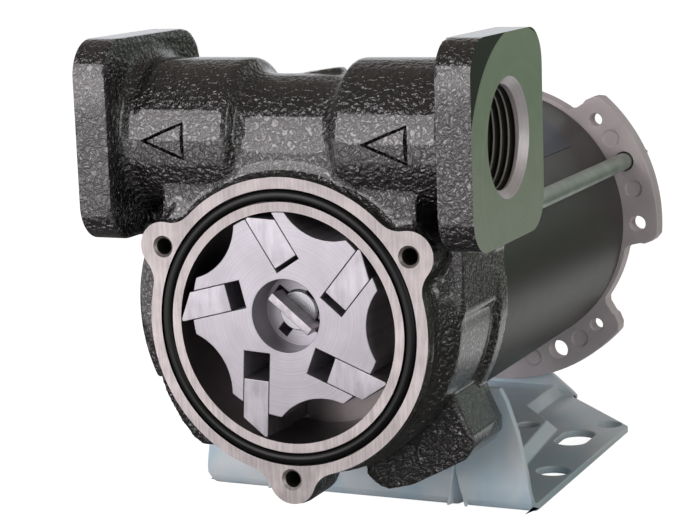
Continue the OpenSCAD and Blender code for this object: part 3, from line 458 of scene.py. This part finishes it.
class PumpColours(bpy.types.PropertyGroup):
    """Base colours of the finishes."""
    enamel: bpy.props.FloatVectorProperty(
        name="Enamel", description="Paint on the pump's casting", size=3, subtype="COLOR",
        default=linear(30, 28, 29), min=0, max=1)
    iron: bpy.props.FloatVectorProperty(
        name="Iron", description="Machined faces of the casting", size=3, subtype="COLOR",
        default=linear(216, 208, 207), min=0, max=1)
    rotor: bpy.props.FloatVectorProperty(
        name="Rotor", description="Sintered steel of rotor and vanes", size=3, subtype="COLOR",
        default=linear(200, 197, 203), min=0, max=1)
    shell: bpy.props.FloatVectorProperty(
        name="Motor shell", description="Satin paint of the motor shell", size=3, subtype="COLOR",
        default=linear(38, 37, 33), min=0, max=1)
    cover: bpy.props.FloatVectorProperty(
        name="End cover", description="Die-cast aluminium of the end cover", size=3, subtype="COLOR",
        default=linear(232, 221, 224), min=0, max=1)
    zinc: bpy.props.FloatVectorProperty(
        name="Zinc", description="Zinc plating of the foot bracket", size=3, subtype="COLOR",
        default=linear(238, 247, 251), min=0, max=1)


def sizes():
    return bpy.context.scene.pump_sizes


def colour_of(name):
    return tuple(getattr(bpy.context.scene.pump_colours, name))


# Operators
class PUMP_OT_casting(bpy.types.Operator):
    """Cast body with rounded edges, carved by its machined faces, bores and threads"""
    bl_idname = "pump.casting"
    bl_label = "Pump Body"

    def thickened(self, shape):
        """Adds stock on the front face and on both port faces."""
        front = [f for f in shape.faces if abs(f.calc_center_median().y - ORIGIN.y) < SAME_PLANE]
        for side in (-1, 1):
            front += [f for f in shape.faces
                      if abs(f.calc_center_median().x - side * PORT_X * MM) < SAME_PLANE]
        copy = bmesh.ops.duplicate(shape, geom=front)["geom"]
        skins = [(f, f.calc_center_median()) for f in copy if isinstance(f, bmesh.types.BMFace)]
        reach = PORT_X * MM - SAME_PLANE
        for face_set, way in (
            ([f for f, spot in skins if abs(spot.y - ORIGIN.y) < SAME_PLANE], (0, -1, 0)),
            ([f for f, spot in skins if spot.x < -reach], (-1, 0, 0)),
            ([f for f, spot in skins if spot.x > reach], (1, 0, 0)),
        ):
            grown = bmesh.ops.extrude_face_region(shape, geom=face_set, use_keep_orig=True)["geom"]
            bmesh.ops.translate(shape, vec=Vector(way) * STOCK * MM,
                                verts=[g for g in grown if isinstance(g, bmesh.types.BMVert)])

    def plugs(self):
        """Solids that fill the chamber, the ports and the lugs' holes before the skin is rebuilt."""
        rim_r, bore_r, bore_depth, step = RIM_R - 1, CHAMBER_R + 1, CHAMBER_DEPTH + 1, 8
        plugs = [cutter([(0, -STOCK), (rim_r, -STOCK), (rim_r, step), (bore_r, step), (bore_r, bore_depth),
                         (0, bore_depth)], at(0, 0, 0), (0, 1, 0))]
        port_r, port_depth = PORT_MOUTH_R + 2, PORT_THREAD_DEPTH + 3
        for side in (-1, 1):
            plugs.append(cutter([(0, -STOCK), (port_r, -STOCK), (port_r, port_depth), (0, port_depth)],
                                at(side * PORT_X, PORT_Y, PORT_Z), (-side, 0, 0)))
        hole_r, hole_depth = 4, LUG_HOLE_DEPTH + 2
        for angle in LUG_ANGLES:
            plugs.append(cutter([(0, -STOCK), (hole_r, -STOCK), (hole_r, hole_depth), (0, hole_depth)],
                                around(LUG_CIRCLE_R, angle), (0, 1, 0), 32))
        return plugs

    def stock(self):
        """The casting before machining: solid bores, and stock on every machined face."""
        shape = bmesh.new()
        shape.from_mesh(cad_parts["pump_body"].data)
        bmesh.ops.remove_doubles(shape, verts=shape.verts, dist=SAME_SPOT)
        self.thickened(shape)
        block = temporary(shape)
        joined = bmesh.new()
        for part in [block] + self.plugs():
            joined.from_mesh(part.data)
            discard(part)
        return joined

    def tools(self):
        """Cutters of the machined faces and bores."""
        eye = at(0, 0, 0)
        tools = [disc_cutter(RIM_R + 2, FACING_CUT, eye, (0, 1, 0), 128),
                 cutter([(0, -OVERRUN), (CHAMBER_R, -OVERRUN), (CHAMBER_R, CHAMBER_DEPTH), (0, CHAMBER_DEPTH)],
                        eye, (0, 1, 0), 180)]
        ring = [(GROOVE_IN_R, -OVERRUN), (GROOVE_OUT_R, -OVERRUN), (GROOVE_OUT_R, GROOVE_DEPTH),
                (GROOVE_IN_R, GROOVE_DEPTH)]
        tools.append(temporary(spun([eye + Vector((r, y, 0)) * MM for r, y in ring], eye, (0, 1, 0), 180)))
        for angle in LUG_ANGLES:
            spot = around(LUG_CIRCLE_R, angle)
            tools.append(disc_cutter(LUG_FACE_R, FACING_CUT, spot, (0, 1, 0), 48))
            tools.append(cutter([(0, -OVERRUN), (LUG_HOLE_R + LUG_LEAD_IN, -OVERRUN),
                                 (LUG_HOLE_R, LUG_LEAD_DEPTH), (LUG_HOLE_R, LUG_HOLE_DEPTH),
                                 (0, LUG_HOLE_DEPTH + LUG_DRILL_POINT)], spot, (0, 1, 0), 40))
        bore_depth = PORT_THREAD_DEPTH + 4
        for side in (-1, 1):
            mouth = at(side * PORT_X, PORT_Y, PORT_Z)
            tools.append(disc_cutter(FLANGE_CUT_R, FLANGE_CUT, mouth, (-side, 0, 0), 48))
            tools.append(cutter([(0, -OVERRUN), (PORT_MOUTH_R + OVERRUN, -OVERRUN),
                                 (PORT_THREAD_R, PORT_MOUTH_R - PORT_THREAD_R), (PORT_THREAD_R, bore_depth),
                                 (0, bore_depth)], mouth, (-side, 0, 0), 128))
            tools.append(self.thread(mouth, -side))
        return tools + [self.arrow(tip_x) for tip_x in ARROW_TIPS]

    def arrow(self, tip_x):
        """A triangular groove with leaning sides, cut into the boss's front."""
        front = PORT_Y - BOSS_R - OVERRUN
        middle = ARROW_LEN * ARROW_MIDDLE_SHARE
        outline = [(0, 0), (ARROW_LEN, -ARROW_H / 2), (ARROW_LEN, ARROW_H / 2)]
        shape = bmesh.new()
        face = shape.faces.new([
            shape.verts.new(at(tip_x + middle + (x - middle) * ARROW_GROW, front, PORT_Z + z * ARROW_GROW))
            for x, z in outline])
        rim = face.edges[:]
        face.normal_update()
        deep = (OVERRUN + ARROW_DEPTH) * MM * (1 if face.normal.y > 0 else -1)
        for depth in (deep, -deep):
            bmesh.ops.inset_individual(shape, faces=[face], thickness=ARROW_LEAN * MM, depth=depth)
        inner = face.edges[:]
        bmesh.ops.delete(shape, geom=[face], context="FACES_ONLY")
        bmesh.ops.bridge_loops(shape, edges=rim + inner)
        bmesh.ops.recalc_face_normals(shape, faces=shape.faces)
        return temporary(shape)

    def thread(self, mouth, inward):
        """A ridge that winds into the port and cuts its pipe thread."""
        shape = bmesh.new()
        root, crest, sunk = THREAD_PITCH * 0.46, 0.12, 0.3
        tooth = [(PORT_THREAD_R - sunk, -root), (PORT_THREAD_R - sunk, root),
                 (PORT_THREAD_R + THREAD_HEIGHT, crest), (PORT_THREAD_R + THREAD_HEIGHT, -crest)]
        start = mouth + Vector((inward * THREAD_START * MM, 0, 0))
        first = shape.faces.new([shape.verts.new(start + Vector((inward * d, 0, r)) * MM) for r, d in tooth])
        bmesh.ops.spin(shape, geom=[first], cent=mouth, axis=(1, 0, 0), angle=math.tau * THREAD_TURNS,
                       steps=THREAD_STEPS * THREAD_TURNS, use_merge=False,
                       dvec=(inward * THREAD_PITCH * MM / THREAD_STEPS, 0, 0))
        bmesh.ops.recalc_face_normals(shape, faces=shape.faces)
        return temporary(shape)

    def zone(self, face):
        """Which of the body's materials a face gets: enamel, rim with painted shade high up, bore in painted
        shade, flange with painted reflection, thread crests and chamfers in painted highlight, or thread flanks
        and lug hole walls in painted shade.
        """
        spot = face.calc_center_median() - ORIGIN
        from_axis = math.hypot(spot.x, spot.z) / MM
        from_port = math.hypot(spot.y / MM - PORT_Y, spot.z / MM - PORT_Z)
        if abs(spot.y) < ON_FACE and from_axis < RIM_REACH and face.normal.y < -0.99:
            return 1
        if from_axis < GROOVE_OUT_R + 0.1 and -ON_FACE < spot.y < (CHAMBER_DEPTH + 0.1) * MM:
            return 2
        if abs(abs(spot.x) - PORT_X * MM) < ON_FACE and face.normal.x * spot.x > 0:
            return 3
        if from_port < PORT_MOUTH_R + 0.2 and abs(spot.x) > (PORT_X - PORT_DEPTH) * MM:
            # thread crests and the port's chamfer get a bright colour as a painted highlight; the other port
            # faces get a dark one as painted shade
            painted_highlight_face = abs(spot.x) > (PORT_X - 2.3) * MM or from_port < PORT_THREAD_R + 0.08
            return 4 if painted_highlight_face else 5
        for angle in map(math.radians, LUG_ANGLES):
            from_lug = math.hypot(spot.x / MM - LUG_CIRCLE_R * math.cos(angle),
                                  spot.z / MM - LUG_CIRCLE_R * math.sin(angle))
            if from_lug < LUG_HOLE_R + 1 and spot.y < (LUG_HOLE_DEPTH + 2) * MM:
                # past the lead-in, the hole walls get the dark flank colour: painted shade inside the hole
                return 1 if spot.y < (LUG_LEAD_DEPTH + 0.1) * MM else 5
        return 0

    def execute(self, context):
        block = temporary(self.stock())
        rebuilt = block.modifiers.new("skin", "REMESH")
        rebuilt.mode = "VOXEL"
        rebuilt.voxel_size = sizes().casting_cell
        rebuilt.use_smooth_shade = True
        skin = finished_mesh(block)
        smoothed(skin, skin.verts, SKIN_PASSES)
        waist = [v for v in skin.verts if abs(v.co.x) < WAIST_X * MM and (v.co - ORIGIN).y < WAIST_Y * MM
                 and abs((v.co - ORIGIN).z - WAIST_Z * MM) < WAIST_H * MM]
        smoothed(skin, waist, WAIST_PASSES)
        body = carved(skin, self.tools())
        for face in body.faces:
            face.material_index = self.zone(face)
        iron = colour_of("iron")
        piece("cast_body", body, "housing", "black_enamel", enamel_finish(colour_of("enamel")),
              # the rim and lug faces get painted shade high up
              machined_finish("faced_iron", iron, (1500, 60, 90), 0.02, 0.46, top_shade=0.6),
              # the chamber and groove are the turned iron darkened to 0.36: painted shade in the recess
              lathe_finish("bored_iron", tinted(iron, 0.36), at(0, 0, 0)),
              # the flange's enamel is tinted green: a painted reflection
              flange_finish(linear(226, 232, 221), linear(34, 42, 34)),
              # bright crest colour with little metal: a painted highlight on the cut iron
              lathe_finish("threaded_iron", linear(240, 232, 236), at(0, PORT_Y, PORT_Z), "X", 0.36,
                           metallic=0.3),
              # dark colour of the same cut iron: painted shade between the crests and in the lug holes
              plain_finish("thread_flanks", linear(52, 54, 46), 0, 0.45, 0.6),
              replaces=["pump_body"], weighted=False)
        return {"FINISHED"}


class PUMP_OT_seal_ring(bpy.types.Operator):
    """Round black sealing ring in the rim's groove"""
    bl_idname = "pump.seal_ring"
    bl_label = "Sealing Ring"

    def execute(self, context):
        low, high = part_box("cover_o_ring")
        thick = (high.y - low.y) / 2
        centre = (low + high) / 2
        middle = (high.x - low.x) / 2 - thick
        sides = 20
        ring = [centre + Vector((middle + thick * math.cos(a), thick * math.sin(a), 0))
                for a in (math.tau * i / sides for i in range(sides))]
        piece("sealing_ring", spun(ring, centre, (0, 1, 0), 160), "housing", "sealing_rubber",
              plain_finish("sealing_rubber", linear(12, 12, 13), 0, 0.34, 0.5, 0.01, 0.3, IOR=1.4),
              replaces=["cover_o_ring"], smooth=60)
        return {"FINISHED"}


class PUMP_OT_rotor(bpy.types.Operator):
    """Slotted rotor, its five vanes, the flat key and the shaft's end"""
    bl_idname = "pump.rotor"
    bl_label = "Rotor and Vanes"

    def execute(self, context):
        edge = sizes().edge / MM
        steel = colour_of("rotor")
        piece("slotted_rotor", eased(traced("rotor"), edge), "rotor_and_armature", "sintered_steel",
              lathe_finish("sintered_steel", steel, at(0, 0, ROTOR_RISE), "Y", 0.5, 0.5, 0.006),
              replaces=["rotor"])
        ground = machined_finish("ground_steel", tinted(steel, 0.92), (500, 500, 90), 0.006, 0.42)
        for number in range(1, 6):
            name = f"vane_{number}"
            piece(f"bevelled_{name}", eased(traced(name), edge), f"{name}_body", "ground_steel", ground,
                  replaces=[name])
        piece("flat_key", eased(traced("drive_key"), edge), "rotor_and_armature", "ground_steel",
              machined_finish("key_steel", linear(190, 186, 190), (600, 80, 600), 0.01, 0.3),
              replaces=["drive_key"])
        return {"FINISHED"}


class PUMP_OT_motor(bpy.types.Operator):
    """Motor shell, bare label plate, cast end cover and tie rods"""
    bl_idname = "pump.motor"
    bl_label = "Motor"

    def execute(self, context):
        piece("painted_shell", eased(traced("motor_shell"), 0.4), "housing", "black_satin",
              plain_finish("black_satin", colour_of("shell"), 0, 0.4, 0.5, 0.004, 0.08, IOR=1.9),
              replaces=["motor_shell"])
        piece("label_plate", traced("blank_label"), "housing", "label_film",
              plain_finish("label_film", linear(50, 60, 80), 0, 0.38, 0.5, 0.004, 0.08),
              replaces=["blank_label"])
        piece("cast_end_cover", eased(traced("end_cover", joined=False), 0.35), "housing", "die_cast_aluminium",
              plain_finish("die_cast_aluminium", colour_of("cover"), 0.2, 0.46, 1.0, 0.03, 0.08),
              replaces=["end_cover"])
        piece("plated_tie_rods", eased(traced("tie_rods"), 0.3), "housing", "zinc_steel",
              plain_finish("zinc_steel", linear(190, 200, 192), 0.8, 0.45, 0.7, 0.02, 0.12),
              replaces=["tie_rods"])
        return {"FINISHED"}


class PUMP_OT_bracket(bpy.types.Operator):
    """Pressed foot bracket with its bolts and washers"""
    bl_idname = "pump.bracket"
    bl_label = "Foot Bracket"

    def execute(self, context):
        zinc = zinc_finish(colour_of("zinc"))
        piece("pressed_bracket", eased(traced("foot_bracket"), 0.5, 3, 40), "housing", "blue_zinc", zinc,
              replaces=["foot_bracket"])
        piece("hexagon_bolts", eased(traced("bracket_bolts"), 0.4), "housing", "blue_zinc", zinc,
              replaces=["bracket_bolts"])
        piece("plain_washers", eased(traced("bracket_washers"), 0.2), "housing", "blue_zinc", zinc,
              replaces=["bracket_washers"])
        return {"FINISHED"}


class PUMP_OT_inner_parts(bpy.types.Operator):
    """Finishes of the pieces inside, which keep the shapes of the CAD model"""
    bl_idname = "pump.inner_parts"
    bl_label = "Inner Parts"

    def execute(self, context):
        eye = at(0, 0, ROTOR_RISE)
        for material, nodes in (
            (lathe_finish("bearing_steel", linear(200, 202, 206), eye, "Y", 0.18, 0.3, 0.003),
             ("front_bearing_outer_ring", "front_bearing_inner_ring", "front_bearing_balls",
              "rear_bearing_outer_ring", "rear_bearing_inner_ring", "rear_bearing_balls")),
            (lathe_finish("shaft_steel", linear(188, 189, 193), eye, "Y", 0.24, 0.3, 0.004),
             ("rear_thrust_washer", "motor_shaft")),
            (lathe_finish("brass", linear(196, 170, 104), at(0, PORT_Y, PORT_Z), "X", 0.3),
             ("bypass_poppet", "bypass_retainer")),
            (plain_finish("copper_wire", linear(186, 104, 60), 0.9, 0.35, 0.5, 0.06, 0.25),
             ("armature_windings",)),
            (lathe_finish("copper_bar", linear(200, 128, 82), eye, "Y", 0.3), ("commutator",)),
            (plain_finish("spring_steel", linear(160, 163, 168), 1, 0.3, 0.5),
             ("bypass_spring", "brush_spring_1", "brush_spring_2", "bearing_wave_washer")),
            (plain_finish("seal_rubber", linear(58, 42, 34), 0, 0.5, 0.6), ("shaft_seal",)),
            (plain_finish("ferrite", linear(78, 77, 82), 0, 0.7, 0.5, 0.05), ("field_magnets",)),
            (machined_finish("lamination_steel", linear(120, 118, 124), (60, 1600, 60), 0.03, 0.45),
             ("armature_core",)),
            (plain_finish("insulating_card", linear(122, 76, 44), 0, 0.6, 0.8, 0.04), ("brush_plate",)),
            (plain_finish("carbon", linear(46, 46, 48), 0.2, 0.55, 0.4, 0.04), ("brush_1", "brush_2")),
            (plain_finish("black_rubber", linear(26, 26, 27), 0, 0.5, 0.7), ("cable_grommet",)),
        ):
            for node in nodes:
                dress(node, material)
        return {"FINISHED"}


class PUMP_OT_studio(bpy.types.Operator):
    """Camera, pale floor and soft lamps"""
    bl_idname = "pump.studio"
    bl_label = "Studio"

    def camera(self, scene):
        data = bpy.data.cameras.new("camera")
        data.lens = CAMERA_LENS
        data.sensor_width = CAMERA_SENSOR
        data.clip_start = 0.01
        made = bpy.data.objects.new("camera", data)
        made.matrix_world = (Matrix.Translation(Vector(CAMERA_SPOT) * MM)
                             @ Matrix.Rotation(math.radians(CAMERA_TURN), 4, "Z")
                             @ Matrix.Rotation(math.radians(90 - CAMERA_DIP), 4, "X")
                             @ Matrix.Rotation(math.radians(CAMERA_ROLL), 4, "Z"))
        scene.collection.objects.link(made)
        scene.camera = made

    def sky(self, scene):
        """White for the camera. Other rays see a pale band near the floor under a dark ceiling."""
        world = bpy.data.worlds.new("studio")
        world.use_nodes = True
        scene.world = world
        g = Graph(world.node_tree)
        way = g.node("ShaderNodeTexCoord", output="Generated")
        right, back, up = (g.node("ShaderNodeSeparateXYZ", inputs={0: way}, output=letter) for letter in "XYZ")
        greenish = (right * 0.9 + back * 0.3).ramp(0.2, 0.9)
        horizon = g.blend(greenish, (0.4, 0.41, 0.43), (0.26, 0.31, 0.25))
        seen = g.blend(up.ramp(0.05, 0.55), horizon, (0.17, 0.155, 0.14))
        camera_ray = g.node("ShaderNodeLightPath", output="Is Camera Ray")
        g.put(world.node_tree.nodes["Background"].inputs["Color"], g.blend(camera_ray, seen, (1, 1, 1)))

    def floor_finish(self):
        """White for the camera. Gloss reflects a darker floor, with one pale patch in front of the pump
        and one beside it."""
        f = Finish("studio_floor", (0.8, 0.8, 0.8), Roughness=0.9)
        camera_ray = f.node("ShaderNodeLightPath", output="Is Camera Ray")
        gloss = f.node("ShaderNodeLightPath", output="Is Glossy Ray")
        right, back = f.axis("X"), f.axis("Y")
        off = right * 0.9 + back * 0.35
        ahead = gloss * (0 - back * 0.92 - right * 0.38).ramp(0.22, 0.28)
        beside = gloss * right.ramp(0.03, 0.09) * back.ramp(0.01, 0.07) * (1 - off.ramp(0.13, 0.24))
        shine = f.blend(beside, f.blend(ahead, (0, 0, 0), (0.3, 0.286, 0.294)), (0.22, 0.22, 0.22))
        f.feed("Emission Strength", FRONT_GLOW)
        f.feed("Emission Color", f.blend(camera_ray, shine, (FLOOR_GLOW / FRONT_GLOW,) * 3))
        reflected = f.blend(off.ramp(0.22, 0.5), (0.24, 0.24, 0.23), (0.4, 0.5, 0.38))
        f.feed("Base Color", f.blend(gloss, (0.8, 0.8, 0.8), reflected))
        return f.material

    def floor(self, scene):
        shape = bmesh.new()
        bmesh.ops.create_grid(shape, x_segments=2, y_segments=2, size=3)
        mesh = bpy.data.meshes.new("studio_floor")
        shape.to_mesh(mesh)
        shape.free()
        mesh.materials.append(self.floor_finish())
        made = bpy.data.objects.new("studio_floor", mesh)
        scene.collection.objects.link(made)

    def lamp(self, scene, name, spot, size, power, colour):
        data = bpy.data.lights.new(name, "AREA")
        data.shape = "RECTANGLE"
        data.size, data.size_y = size
        data.energy = power
        data.color = colour
        made = bpy.data.objects.new(name, data)
        made.location = spot
        made.rotation_euler = (Vector(LAMP_AIM) - Vector(spot)).to_track_quat("-Z", "Y").to_euler()
        scene.collection.objects.link(made)

    def execute(self, context):
        scene = context.scene
        scene.view_settings.view_transform = "Standard"
        self.camera(scene)
        self.sky(scene)
        self.floor(scene)
        for name, values in LAMPS.items():
            self.lamp(scene, name, *values)
        return {"FINISHED"}


STEPS = (PUMP_OT_casting, PUMP_OT_seal_ring, PUMP_OT_rotor, PUMP_OT_motor, PUMP_OT_bracket,
         PUMP_OT_inner_parts, PUMP_OT_studio)


class PUMP_PT_panel(bpy.types.Panel):
    """Lists the steps that build the pump"""
    bl_idname = "PUMP_PT_panel"
    bl_label = "Electric Vane Pump"
    bl_space_type = "VIEW_3D"
    bl_region_type = "UI"
    bl_category = "Pump"

    def draw(self, context):
        for step in STEPS:
            self.layout.operator(step.bl_idname)


CLASSES = (PumpSizes, PumpColours) + STEPS + (PUMP_PT_panel,)


def register():
    for each in CLASSES:
        bpy.utils.register_class(each)
    bpy.types.Scene.pump_sizes = bpy.props.PointerProperty(type=PumpSizes)
    bpy.types.Scene.pump_colours = bpy.props.PointerProperty(type=PumpColours)


def unregister():
    del bpy.types.Scene.pump_sizes
    del bpy.types.Scene.pump_colours
    for each in reversed(CLASSES):
        bpy.utils.unregister_class(each)


def main():
    register()
    bpy.ops.pump.casting()
    bpy.ops.pump.seal_ring()
    bpy.ops.pump.rotor()
    bpy.ops.pump.motor()
    bpy.ops.pump.bracket()
    bpy.ops.pump.inner_parts()
    bpy.ops.pump.studio()


if __name__ == "__main__":
    main()
